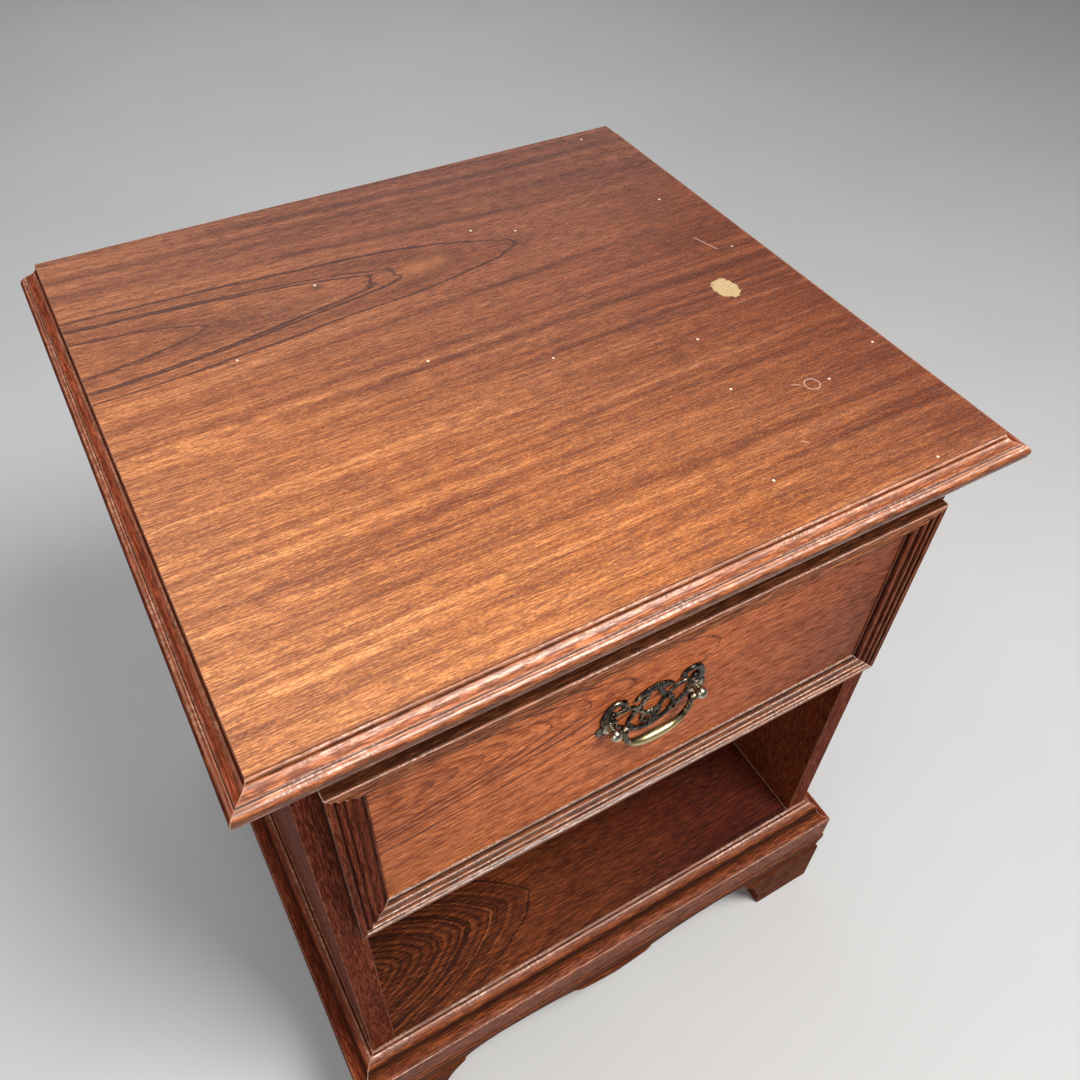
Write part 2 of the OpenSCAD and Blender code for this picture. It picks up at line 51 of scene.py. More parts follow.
def corners(node):
    """Lowest and highest corner of a CAD node in mm."""
    lo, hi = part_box(node)
    return [c / MM for c in lo], [c / MM for c in hi]


def middle(node):
    return [(a + b) / 2 for a, b in zip(*corners(node))]


TOP_LO, TOP_HI = corners("top_panel")
SHELF_LO, SHELF_HI = corners("shelf_board")
FRAME_LO = corners("drawer_frame_left")[0]
FRAME_HI = corners("drawer_frame_right")[1]
CASE_X = corners("side_panel_right")[1][X]
PLATE_Y = corners("handle_backplate")[1][Y]
BAIL_LO = corners("handle_bail")[0]

# ---------------------------------------------------------------- shader helper


class Shade:
    """Short calls that add nodes to one material. Lengths inside are in mm."""

    def __init__(self, name):
        self.mat = bpy.data.materials.new(name)
        self.mat.use_nodes = True
        self.tree = self.mat.node_tree
        self.tree.nodes.clear()
        self.out = self.tree.nodes.new("ShaderNodeOutputMaterial")
        self.bsdf = self.tree.nodes.new("ShaderNodeBsdfPrincipled")
        self.link(self.bsdf.outputs[0], self.out.inputs[0])
        coord = self.tree.nodes.new("ShaderNodeTexCoord")
        self.place = self.vmath("SCALE", coord.outputs["Object"], scale=1 / MM)
        split = self.tree.nodes.new("ShaderNodeSeparateXYZ")
        self.link(self.place, split.inputs[0])
        self.axes = split.outputs

    def link(self, a, b):
        self.tree.links.new(a, b)

    def feed(self, value, socket):
        """Links a socket, or sets a constant."""
        if isinstance(value, bpy.types.NodeSocket):
            self.link(value, socket)
        elif value is not None:
            socket.default_value = value

    def math(self, op, a, b=None, c=None, clamp=False):
        n = self.tree.nodes.new("ShaderNodeMath")
        n.operation, n.use_clamp = op, clamp
        for value, socket in zip((a, b, c), n.inputs):
            self.feed(value, socket)
        return n.outputs[0]

    def spread(self, value, gain, middle=0.0):
        """A noise about 0.5 turned into one about middle, gain times as strong."""
        return self.math("MULTIPLY_ADD", value, gain, middle - gain / 2)

    def length(self, u, v):
        squares = self.math("ADD", self.math("MULTIPLY", u, u), self.math("MULTIPLY", v, v))
        return self.math("SQRT", squares)

    def vmath(self, op, a, b=None, scale=None):
        n = self.tree.nodes.new("ShaderNodeVectorMath")
        n.operation = op
        self.feed(a, n.inputs[0])
        self.feed(b, n.inputs[1])
        if scale is not None:
            n.inputs["Scale"].default_value = scale
        return n.outputs["Value"] if op in ("DOT_PRODUCT", "DISTANCE") else n.outputs["Vector"]

    def vec(self, x, y, z):
        n = self.tree.nodes.new("ShaderNodeCombineXYZ")
        for value, socket in zip((x, y, z), n.inputs):
            self.feed(value, socket)
        return n.outputs[0]

    def noise(self, vector, scale=1.0, detail=2.0, rough=0.5):
        n = self.tree.nodes.new("ShaderNodeTexNoise")
        self.link(vector, n.inputs["Vector"])
        n.inputs["Scale"].default_value = scale
        n.inputs["Detail"].default_value = detail
        n.inputs["Roughness"].default_value = rough
        return n.outputs["Fac"]

    def line_noise(self, w, detail, rough):
        n = self.tree.nodes.new("ShaderNodeTexNoise")
        n.noise_dimensions = "1D"
        self.link(w, n.inputs["W"])
        n.inputs["Scale"].default_value = 1.0
        n.inputs["Detail"].default_value = detail
        n.inputs["Roughness"].default_value = rough
        return n.outputs["Fac"]

    def step(self, value, lo, hi, to_lo=0.0, to_hi=1.0):
        """Smooth step from to_lo at lo to to_hi at hi."""
        n = self.tree.nodes.new("ShaderNodeMapRange")
        n.interpolation_type = "SMOOTHSTEP"
        for v, socket in zip((value, lo, hi, to_lo, to_hi), n.inputs):
            self.feed(v, socket)
        return n.outputs[0]

    def ramp(self, fac, stops):
        n = self.tree.nodes.new("ShaderNodeValToRGB")
        self.link(fac, n.inputs[0])
        el = n.color_ramp.elements
        while len(el) < len(stops):
            el.new(0.5)
        for e, (at, colour) in zip(el, stops):
            e.position, e.color = at, (*colour, 1)
        return n.outputs[0]

    def mix(self, fac, a, b, blend="MIX"):
        n = self.tree.nodes.new("ShaderNodeMix")
        n.data_type, n.blend_type = "RGBA", blend
        self.feed(fac, n.inputs["Factor"])
        ins = [s for s in n.inputs if s.type == "RGBA"]
        for value, socket in ((a, ins[0]), (b, ins[1])):
            self.feed((*value, 1) if isinstance(value, tuple) else value, socket)
        return [s for s in n.outputs if s.type == "RGBA"][0]

    def tint(self, colour, by):
        """A colour multiplied by another."""
        return self.mix(1.0, colour, by, "MULTIPLY")

    def bump(self, height, distance, strength):
        n = self.tree.nodes.new("ShaderNodeBump")
        self.link(height, n.inputs["Height"])
        n.inputs["Distance"].default_value = distance * MM
        n.inputs["Strength"].default_value = strength
        return n.outputs[0]

    def edges(self, radius, reach):
        """(mask of outside edges, openness): the first marks wear, the second falls in grooves."""
        soft = self.tree.nodes.new("ShaderNodeBevel")
        soft.samples = 4
        soft.inputs["Radius"].default_value = radius * MM
        geo = self.tree.nodes.new("ShaderNodeNewGeometry")
        dot = self.vmath("DOT_PRODUCT", soft.outputs[0], geo.outputs["Normal"])
        turn = self.step(dot, 0.985, 0.86)
        near = self.tree.nodes.new("ShaderNodeAmbientOcclusion")
        near.samples, near.only_local = 4, True
        near.inputs["Distance"].default_value = reach * MM
        open_ = near.outputs["AO"]
        return self.math("MULTIPLY", turn, self.step(open_, 0.55, 0.85)), open_

    def finish(self, colour, rough, normal=None, **constants):
        self.feed(colour, self.bsdf.inputs["Base Color"])
        self.feed(rough, self.bsdf.inputs["Roughness"])
        if normal is not None:
            self.link(normal, self.bsdf.inputs["Normal"])
        for name, value in constants.items():
            self.bsdf.inputs[name.replace("_", " ")].default_value = value
        return self.mat


# ---------------------------------------------------------------- wood

# bare wood on a worn edge, a painted highlight on a crest where the lamp's reflection would fall, and dust
WORN = (0.66, 0.38, 0.25)
GLINT = (0.95, 0.68, 0.56)
DUST = (0.66, 0.55, 0.48)

# four tones of each stain, from the dark lines to the pale fibre
ORANGE = ((0.070, 0.014, 0.005), (0.225, 0.056, 0.015), (0.400, 0.122, 0.034), (0.620, 0.240, 0.085))
BROWN = ((0.040, 0.010, 0.005), (0.160, 0.042, 0.014), (0.290, 0.088, 0.031), (0.480, 0.180, 0.075))
RED = ((0.024, 0.005, 0.002), (0.090, 0.019, 0.005), (0.170, 0.040, 0.011), (0.290, 0.082, 0.026))
DEEP = ((0.020, 0.004, 0.002), (0.072, 0.013, 0.005), (0.125, 0.025, 0.010), (0.220, 0.056, 0.023))
PALE = ((0.200, 0.120, 0.060), (0.400, 0.260, 0.140), (0.520, 0.360, 0.210), (0.640, 0.480, 0.300))
PLY = ((0.180, 0.100, 0.055), (0.330, 0.205, 0.120), (0.430, 0.290, 0.180), (0.540, 0.390, 0.260))
TONE_STOPS = (0.08, 0.36, 0.62, 0.9)

# frequencies of the grain's noises along, across and through the board, per mm
SLOW = (0.008, 0.03, 0.03)
QUICK = (0.06, 0.22, 0.22)
FIBRE = (0.034, 0.48, 0.48)
DOTS = (0.40, 1.4, 1.4)
DASH = (0.085, 1.1, 1.1)
CROWD = (0.022, 0.12, 0.1)
RIBBON_ALONG, RIBBON_ACROSS, RIBBON_SLICE = 0.004, 0.085, 3.1

# how far the rings stray slowly and quickly, and the same for the fibre's lanes, in mm
RING_SLOW, RING_QUICK = 9.0, 2.4
LANE_SLOW, LANE_QUICK = 6.0, 1.3

SLOPE_EASE = 30.0                # how softly the pith's slope stops at its end
DEPTH_SHARE = 0.6                # how much of a place's own depth counts in the rings
LEAST_DEPTH = 0.5


class Board(Shade):
    """A shade with sawn wood's own coordinates, in mm."""

    def __init__(self, name, grain, pith, power, end, wander):
        super().__init__(name)
        self.along, self.across, self.depth = (self.axes[i] for i in grain)
        self.power = power
        pith_across, pith_depth, pith_along, self.slope = pith
        slow = self.grain_noise(self.across, SLOW, 2.0, 0.5)
        quick = self.grain_noise(self.across, QUICK, 3.0, 0.6)

        # distance from the pith: beside it, below it, and the two together
        self.side = self.math("ABSOLUTE", self.math("SUBTRACT", self.across, pith_across))
        run = self.along if end is None else self.math("SMOOTH_MIN", self.along, end, SLOPE_EASE)
        below = self.math("MULTIPLY_ADD", run, self.slope, pith_depth - self.slope * pith_along)
        below = self.math("ADD", below, self.math("MULTIPLY", self.depth, DEPTH_SHARE))
        self.deep = self.math("MAXIMUM", below, LEAST_DEPTH)
        powers = self.math("ADD", self.math("POWER", self.side, power), self.math("POWER", self.deep, power))
        shift = self.math("ADD", self.spread(slow, RING_SLOW * wander),
                          self.spread(quick, RING_QUICK * wander))
        self.ring = self.math("ADD", self.math("POWER", powers, 1 / power), shift)

        # fibre and pores run along the board in lanes that stray a little
        stray = self.math("MULTIPLY_ADD", quick, LANE_QUICK, self.math("MULTIPLY", slow, LANE_SLOW))
        self.lane = self.math("ADD", self.across, stray)
        self.fibre = self.grain_noise(self.lane, FIBRE, 6.0, 0.74)
        self.dash = self.grain_noise(self.lane, DASH, 2.5, 0.6)

    def grain_noise(self, across, frequencies, detail, rough):
        parts = (self.along, across, self.depth)
        place = self.vec(*(self.math("MULTIPLY", part, f) for part, f in zip(parts, frequencies)))
        return self.noise(place, 1.0, detail, rough)

    def ribbons(self):
        """Broad light and dark bands that follow the rings."""
        place = self.vec(self.math("MULTIPLY", self.along, RIBBON_ALONG),
                         self.math("MULTIPLY", self.ring, RIBBON_ACROSS), RIBBON_SLICE)
        return self.noise(place, 1.0, 2.0, 0.5)

    def fine_rings(self, spacing, strength, reach):
        """Many thin dark rings, sharp on one side, that fade out at reach."""
        phase = self.math("FRACT", self.math("DIVIDE", self.ring, spacing))
        dark = self.math("MULTIPLY", self.step(phase, 0.30, 0.97), self.step(phase, 1.0, 0.96))
        inside = self.step(self.ring, reach, reach * 0.75)
        return self.math("MULTIPLY", self.math("MULTIPLY", dark, inside), strength)

    def steepness(self):
        """How fast the rings' distance changes on the sawn face, which is how narrow a ring looks there."""
        rest = self.power - 1
        steep = self.math("POWER", self.math("DIVIDE", self.side, self.ring), rest)
        flat = self.math("POWER", self.math("DIVIDE", self.deep, self.ring), rest)
        return self.length(steep, self.math("MULTIPLY", flat, self.slope))

    def figure(self, rings, lines, ink, ribbon, bands, band_rate, nest, streak, grit):
        """The pattern that picks the tones: about 0 is dark and about 1 is light."""
        spacing, strength, reach = rings
        band = self.line_noise(self.math("MULTIPLY", self.ring, band_rate), 4.0, 0.65)
        outside = self.step(self.ring, reach * 1.15, reach * 0.8, 0.0, nest)
        beside = self.step(self.math("DIVIDE", self.side, self.deep), 0.3, 0.9)
        total = self.math("MULTIPLY", self.spread(band, bands), self.math("MAXIMUM", outside, beside))
        total = self.math("ADD", total, self.spread(self.ribbons(), ribbon, 0.5))
        total = self.math("ADD", total, self.spread(self.fibre, streak))
        total = self.math("ADD", total, self.spread(self.grain_noise(self.lane, DOTS, 1.0, 0.5), grit))
        if strength:
            total = self.math("SUBTRACT", total, self.fine_rings(spacing, strength, reach))
        if lines:
            steepness = self.steepness()
            inked = self.step(self.fibre, 0.35, 0.65, ink, ink * 0.5)
        for radius in lines:
            off = self.math("ABSOLUTE", self.math("SUBTRACT", self.ring, radius))
            line = self.step(self.math("DIVIDE", off, steepness), 1.5, 0.4)
            total = self.math("SUBTRACT", total, self.math("MULTIPLY", line, inked))
        return total

    def pores(self):
        """Mask of the open pores, which are short dashes along the grain and crowd in places."""
        crowd = self.grain_noise(self.lane, CROWD, 2.0, 0.5)
        cut = self.math("MULTIPLY_ADD", crowd, -0.20, 0.60)
        return self.step(self.math("SUBTRACT", self.dash, cut), 0.0, 0.07)

    def weather(self, colour, rough, stain_and_shade_colour, rub_and_glint, wear, dirt_and_shade, profile):
        """Darkens grooves as grime and painted shade, lightens edges and crests as wear and painted
        highlight, and returns colour and roughness.
        """
        edge, open_ = self.edges(1.0, 2.5)
        # painted shade: where little around is open, in grooves and creases, the colour is darkened, partly
        # as grime and partly as the shade that falls there
        stain_and_shade = self.step(open_, 0.92, 0.45)
        nick = self.noise(self.place, 0.35, 4.0, 0.75)
        patch = self.noise(self.place, 0.02, 2.0, 0.5)
        broken = self.math("MULTIPLY", self.step(nick, 0.46, 0.58), self.step(patch, 0.36, 0.6))
        broken = self.math("MULTIPLY_ADD", broken, 0.65, 0.35)
        # the profile's stops paint a dark line, as grime and painted shade, into each groove, and a light
        # line, as wear and painted highlight, onto each crest
        if profile:
            where, width, stops = profile
            greys = [(at / width, (level / 2 + 0.5,) * 3) for at, level in stops]
            tone = self.ramp(self.math("DIVIDE", where(self), width), greys)
            stain_and_shade = self.math("MAXIMUM", stain_and_shade, self.step(tone, 0.5, 0.02))
            edge = self.math("MAXIMUM", edge, self.step(tone, 0.5, 1.0))
        colour = self.mix(self.math("MULTIPLY", stain_and_shade, dirt_and_shade), colour, stain_and_shade_colour)
        # wear on the edges, and a painted highlight where the profile paints a crest light
        rubbed_and_lit = self.math("MULTIPLY", self.math("MULTIPLY", edge, broken), wear, clamp=True)
        rough = self.math("ADD", rough, self.math("MULTIPLY", rubbed_and_lit, 0.1))
        return self.mix(rubbed_and_lit, colour, rub_and_glint), rough


def wood(name, grain, tones, pith, power=2.0, end=None, rings=(9.0, 0.0, 60.0), lines=(), ink=0.5,
         ribbon=0.5, bands=0.4, band_rate=0.24, nest=1.0, streak=1.6, grit=0.3, pores=0.8,
         roughness=0.36, coat=0.2, shine=0.25, wear=0.6, dirt_and_shade=0.6, relief=0.6, wander=1.0,
         rub_and_glint=WORN, profile=None, marks=None):
    """Sawn wood.

    grain is (along, across, depth) as axis numbers. pith is where the rings' centre runs: across, its
    depth at a place along the board, that place, and the depth's slope. The slope stops at end, and the
    rings run straight from there. power shapes the rings' tips: 2 is round, less is pointed. wander is how
    far the rings stray.

    rings is (spacing, strength, reach) of the fine rings. lines are the radii of single dark rings, and
    ink is their strength. ribbon, bands, streak and grit are the strengths of the broad bands, the growth
    bands, the fibre and the finest dots. band_rate is the growth bands' frequency, and nest how strong
    they stay inside the rings' reach.

    coat and shine are how glossy the polish is. wear and dirt are the strengths of the lightened edges and
    crests, whose colour is rub, and of the darkened grooves: the first is wear and painted highlight, the
    second grime and painted shade. relief is the depth of the pores. profile is (where across a moulding,
    in mm, its width, and (place, tone) stops: -1 for a groove painted dark, as grime and shade, 1 for a
    crest painted light, as wear and highlight). marks takes the shade and a colour, and returns the colour
    changed."""
    s = Board(name, grain, pith, power, end, wander)
    figure = s.figure(rings, lines, ink, ribbon, bands, band_rate, nest, streak, grit)
    colour = s.ramp(figure, list(zip(TONE_STOPS, tones)))
    pore = s.pores()
    pore_colour = tuple((2 * a + b) / 3 for a, b in zip(tones[0], tones[1]))
    colour = s.mix(s.math("MULTIPLY", pore, pores), colour, pore_colour)
    colour = s.mix(s.math("MULTIPLY", s.step(s.dash, 0.44, 0.30), 0.7 * pores), colour, tones[3])
    if marks:
        colour = marks(s, colour)
    patchy = s.noise(s.place, 0.045, 3.0, 0.6)
    rough = s.math("ADD", s.spread(patchy, 0.16, roughness), s.math("MULTIPLY", pore, 0.2))
    # grooves are darkened as grime and painted shade, and edges and crests lightened as wear and painted
    # highlight
    if wear or dirt_and_shade:
        stain_and_shade_colour = tuple(c * 0.2 for c in tones[0])
        colour, rough = s.weather(colour, rough, stain_and_shade_colour, rub_and_glint, wear, dirt_and_shade, profile)
    height = s.math("SUBTRACT", s.math("MULTIPLY", s.fibre, 0.5), pore)
    normal = s.bump(height, 0.16, relief)
    return s.finish(colour, rough, normal, Coat_Weight=coat, Coat_Roughness=0.18,
                    Specular_IOR_Level=shine)


def lighter(tones, k):
    return tuple(tuple(c * k for c in tone) for tone in tones)


# ---------------------------------------------------------------- marks on the wood, places in mm


def spot(s, at, radii):
    """Distance from a point, seen from above, in units of radii."""
    u = s.math("DIVIDE", s.math("SUBTRACT", s.axes[X], at[0]), radii[0])
    v = s.math("DIVIDE", s.math("SUBTRACT", s.axes[Y], at[1]), radii[1])
    return s.length(u, v)


def stroke(s, a, b, width):
    """Mask of a thin line between two points, seen from above."""
    length = math.dist(a, b)
    du, dv = (b[0] - a[0]) / length, (b[1] - a[1]) / length
    u = s.math("SUBTRACT", s.axes[X], a[0])
    v = s.math("SUBTRACT", s.axes[Y], a[1])
    t = s.math("ADD", s.math("MULTIPLY", u, du), s.math("MULTIPLY", v, dv))
    d = s.math("ABSOLUTE", s.math("SUBTRACT", s.math("MULTIPLY", v, du), s.math("MULTIPLY", u, dv)))
    ends = s.math("MULTIPLY", s.step(t, 0.0, 2.0), s.step(t, length, length - 2.0))
    return s.math("MULTIPLY", s.step(d, width, width * 0.3), ends)


def specks(s, spacing, radius, share):
    """Mask of scattered dust specks."""
    n = s.tree.nodes.new("ShaderNodeTexVoronoi")
    ragged = s.noise(s.place, 0.9, 2.0, 0.6)
    s.link(s.vmath("ADD", s.place, s.vmath("SCALE", s.vec(ragged, ragged, ragged), scale=2.2)),
           n.inputs["Vector"])
    n.inputs["Scale"].default_value = 1 / spacing
    part = s.tree.nodes.new("ShaderNodeSeparateColor")
    s.link(n.outputs["Color"], part.inputs[0])
    size = s.math("MULTIPLY", part.outputs[1], radius / spacing)
    dot = s.math("LESS_THAN", n.outputs["Distance"], size)
    return s.math("MULTIPLY", dot, s.math("LESS_THAN", part.outputs[0], share))


def dusty(spacing=30, radius=1.1, share=0.12):
    return lambda s, colour: s.mix(specks(s, spacing, radius, share), colour, DUST)


# painted light and shade: the top is painted lighter at its front left and darker at its back right, as the
# polish's reflection and the light's falloff would show it
PAINTED_LIGHT_SPAN = 920
TOP_PAINTED_LIGHT = ((0.10, (0.79, 0.94, 0.97)), (0.32, (0.65, 0.70, 0.72)), (0.47, (0.46, 0.48, 0.56)),
            (0.64, (0.34, 0.31, 0.38)), (0.85, (0.275, 0.23, 0.26)))
# ends of the thin scratches, and places of the single specks
SCRATCHES = (((194, 48), (200.5, 26)), ((146, -120), (153, -124)), ((118, -163), (122, -168)))
MOTES = ((201, 217), (203, 105), (212, 25), (-41, 6), (30, -28), (123, -55), (111, -106), (223, -111),
         (83, -182), (53, 131), (82, 116), (172, -127), (180, -212), (-145, 62), (-73, 117))


def top_marks(s, colour):
    """Painted light and shade across the top, an amber glow and a dark eye in the figure, a bare patch, a
    smudge, scratches, a curled hair and specks."""
    # painted light and shade: lighter towards the front left, darker towards the back and the right
    painted_light = s.math("MULTIPLY_ADD", s.axes[Y], 1 / PAINTED_LIGHT_SPAN, 0.5)
    painted_light = s.math("MULTIPLY_ADD", s.axes[X], 1 / PAINTED_LIGHT_SPAN, painted_light)
    painted_light = s.math("ADD", painted_light, s.step(s.axes[X], 120, 260, 0.0, 0.17))
    colour = s.tint(colour, s.ramp(painted_light, TOP_PAINTED_LIGHT))
    ragged = s.spread(s.noise(s.place, 0.16, 3.0, 0.6), 0.9)
    amber = s.step(s.math("ADD", spot(s, (2, 106), (26.0, 11.0)), ragged), 1.2, 0.0)
    colour = s.mix(s.math("MULTIPLY", amber, 0.26), colour, ORANGE[3])
    eye = s.step(s.math("ADD", spot(s, (-72, 114), (9.0, 4.5)), ragged), 1.0, 0.1)
    colour = s.mix(s.math("MULTIPLY", eye, 0.6), colour, DEEP[0])
    bare = s.step(s.math("ADD", spot(s, (175, -16.5), (8.8, 12.6)), ragged), 1.0, 0.9)
    streak = s.noise(s.vec(s.math("MULTIPLY", s.axes[X], 0.25), s.axes[Y], 0.0), 1.0, 2.0, 0.5)
    colour = s.mix(bare, colour, s.mix(streak, (0.30, 0.19, 0.08), (0.55, 0.41, 0.22)))
    smudge = s.step(s.math("ADD", spot(s, (-115, 90), (75.0, 24.0)), ragged), 1.2, 0.1)
    colour = s.mix(s.math("MULTIPLY", smudge, 0.55), colour, s.tint(colour, (0.5, 0.42, 0.42)))
    for a, b in SCRATCHES:
        colour = s.mix(s.math("MULTIPLY", stroke(s, a, b, 0.5), 0.7), colour, (0.62, 0.40, 0.30))
    hair = s.math("ABSOLUTE", s.math("SUBTRACT", spot(s, (159, -126), (5.0, 5.0)), 1.0))
    colour = s.mix(s.math("MULTIPLY", s.step(hair, 0.1, 0.04), 0.6), colour, (0.62, 0.42, 0.34))
    for at in MOTES:
        off = s.vmath("DISTANCE", s.place, (*at, TOP_HI[Z]))
        mote = s.step(s.math("ADD", off, ragged), 1.15, 0.55)
        colour = s.mix(mote, colour, (0.74, 0.60, 0.50))
    return colour


# painted light and shade across the drawer front, from its left edge to its right
DRAWER_SPAN = 400
DRAWER_PAINTED_LIGHT = ((0.0, (0.68, 0.62, 0.60)), (0.35, (0.84, 0.76, 0.74)), (0.65, (0.66, 0.55, 0.54)),
               (1.0, (0.26, 0.18, 0.16)))


def drawer_marks(s, colour):
    """Painted light and shade: lighter left of the middle and darker towards the right, with dust."""
    across = s.math("MULTIPLY_ADD", s.axes[X], 1 / DRAWER_SPAN, 0.5)
    return dusty(40, 1.0, 0.15)(s, s.tint(colour, s.ramp(across, DRAWER_PAINTED_LIGHT)))


def shelf_marks(s, colour):
    """A painted shadow on the right part, where the right side shades the shelf, with a pale line at the
    joint with the right side, and dust.
    """
    # painted shadow: the right part is darkened as the right side's shadow would darken it
    shade = s.step(s.axes[X], -120.0, 170.0)
    colour = s.mix(shade, colour, s.tint(colour, (0.42, 0.28, 0.38)))
    joint_x, front_y = SHELF_HI[X] - 0.5, SHELF_LO[Y]
    joint = stroke(s, (joint_x, front_y), (joint_x, front_y + 100), 0.7)
    colour = s.mix(s.math("MULTIPLY", joint, 0.5), colour, WORN)
    return dusty(40, 1.2, 0.2)(s, colour)


# ---------------------------------------------------------------- profiles of the mouldings, in mm

# each is (width, stops), measured outwards from the flat face, or inwards from the drawer frame's edge; the
# stops paint light lines, as wear and painted highlight, and dark lines, as grime and painted shade
TOP_PROFILE = (13, (
    (0, 0.7), (0.4, 1), (1.1, -1), (2.0, 0.7), (3.6, 0.2), (6.4, 0.05), (7.4, 0.3), (8.2, -1),
    (8.8, 0.9), (9.6, 0.15), (10.9, 0.75), (12.3, -0.3), (13, -0.6)))
BASE_PROFILE = (22.4, (
    (0, -0.6), (1.3, 1), (2.4, -0.9), (4.0, 1), (5.4, 0.3), (8.6, 0.15), (10.6, -0.8), (13.5, -0.4),
    (18, 0.0), (20.6, 0.2), (21.0, 0.8), (21.45, -0.1), (22.4, -0.1)))
# reeds with strong painted highlights on the crests and painted shadow in the grooves, for the lit pieces
LIT_REEDS = (22, (
    (0, -0.5), (0.3, 1), (1.1, 0.1), (3.0, 0.1), (3.9, 0.9), (4.9, -1), (6.6, 0.0), (7.4, 1),
    (9.4, -1), (10.9, 0.0), (11.7, 1), (13.8, -1), (15.6, 0.1), (17.2, 0.7), (18.6, -0.4),
    (20.4, -1), (21.3, 1), (22, -0.6)))
# the same reeds faint, for pieces in shade; the first stops paint the frame's outer face dark, as painted
# shade
SHADED_REEDS = (22, (
    (0, -0.62), (0.12, -0.62), (0.45, 1), (1.0, 0.0), (4.0, 0.1), (4.9, -0.4), (7.4, 0.15),
    (9.4, -0.35), (11.7, 0.15), (13.8, -0.35), (17.2, 0.1), (20.4, -1), (21.3, 0.5), (22, -0.6)))


def in_front_of(start):
    """How far a place is in front of a plane across the object."""
    return lambda s: s.math("MULTIPLY_ADD", s.axes[Y], -1, start)


def beyond_side(start):
    """How far a place is out from a plane on either side."""
    return lambda s: s.math("SUBTRACT", s.math("ABSOLUTE", s.axes[X]), start)


def within(axis):
    """How far a place is in from the nearer edge of the drawer's frame."""
    def inset(s):
        above = s.math("SUBTRACT", s.axes[axis], FRAME_LO[axis])
        return s.math("MINIMUM", above, s.math("SUBTRACT", FRAME_HI[axis], s.axes[axis]))
    return inset


# ---------------------------------------------------------------- woods by piece

# grain axes: along, across, depth
XYZ, YXZ, ZYX, ZXY, XZY, YZX = (X, Y, Z), (Y, X, Z), (Z, Y, X), (Z, X, Y), (X, Z, Y), (Y, Z, X)

# finishes, from shiny to bare
POLISHED = dict(ribbon=0.5, bands=0.5, pores=0.9, roughness=0.28, coat=0.12, wear=0.9, dirt_and_shade=0.9, relief=0.9)
SATIN = dict(POLISHED, roughness=0.42, coat=0.0, shine=0.1)
DULL = dict(ribbon=0.5, bands=0.5, roughness=0.5, coat=0.0, wear=0.7, dirt_and_shade=0.85, relief=0.7, shine=0.02,
            streak=1.15)
FAINT = dict(DULL, wear=0.35)
BARE = dict(ribbon=0.3, bands=0.5, pores=0.3, roughness=0.62, coat=0.0, wear=0.0, dirt_and_shade=0.4, relief=0.3)

top_wood = wood(
    "top_veneer", XYZ, lighter(ORANGE, 1.6), (TOP_HI[Y] - 124, 40 - TOP_HI[Z] * DEPTH_SHARE, -21, 0.10),
    end=105, rings=(2.6, 0.08, 42), lines=(26.4, 38.4, 40.0, 49.0), ink=0.85, ribbon=0.8, bands=0.58,
    band_rate=0.13, nest=0.1, streak=0.9, grit=0.8, pores=0.6, roughness=0.36, coat=0.15, shine=0.4,
    wear=0.5, dirt_and_shade=0.0, relief=0.7, wander=0.6, marks=top_marks)
drawer_wood = wood(
    "drawer_veneer", XZY, lighter(ORANGE, 1.9), (519.5, 42 - PLATE_Y * DEPTH_SHARE, -50, 0.133),
    end=85, rings=(2.2, 0.24, 50), lines=(38.5, 42.0, 45.7, 54.7), ink=0.6, ribbon=0.45, bands=0.3,
    band_rate=0.6, nest=0.5, streak=1.2, grit=0.5, roughness=0.4, coat=0.0, shine=0.12, wear=0.3,
    dirt_and_shade=0.8, wander=0.5, marks=drawer_marks)
shelf_wood = wood(
    "shelf_veneer", XYZ, lighter(RED, 1.10), (-154, 35 - SHELF_HI[Z] * DEPTH_SHARE, -139, 0.42),
    power=1.45, end=-15, rings=(3.7, 0.5, 73), lines=(35.0, 46.0, 57.0, 72.0), ink=0.9, ribbon=0.6,
    bands=1.0, roughness=0.42, coat=0.0, shine=0.12, wear=0.3, dirt_and_shade=0.5, wander=0.9, marks=shelf_marks)

# painted highlight: the front mouldings' crests are lightened with the glint colour
edge_x = wood("moulding_x", XYZ, lighter(BROWN, 1.4), (-420, 160, 0, 0.02), **POLISHED, marks=dusty(),
              rub_and_glint=GLINT, profile=(in_front_of(TOP_LO[Y]), *TOP_PROFILE))
# painted shade: the side moulding is a darker copy of the front one
edge_y_shaded = wood("moulding_y_shaded", YXZ, lighter(DEEP, 1.6), (-520, 160, 0, 0.02), **DULL, marks=dusty(),
              profile=(beyond_side(TOP_HI[X]), *TOP_PROFILE))
base_x = wood("base_x", XYZ, lighter(RED, 1.5), (-460, 120, 0, 0.03), **dict(SATIN, bands=0.2, streak=1.1),
              marks=dusty(), rub_and_glint=GLINT, profile=(in_front_of(SHELF_LO[Y]), *BASE_PROFILE))
# painted shade: the side base moulding is a darker copy of the front one
base_y_shaded = wood("base_y_shaded", YXZ, lighter(DEEP, 1.6), (-520, 160, 0, 0.02), **DULL, marks=dusty(),
              profile=(beyond_side(CASE_X), *BASE_PROFILE))
plinth_x = wood("plinth_x", XZY, lighter(RED, 0.88), (-260, 320, 0, 0.03), **DULL, marks=dusty())
plinth_y = wood("plinth_y", YZX, DEEP, (-260, 320, 0, 0.03), **DULL, marks=dusty())
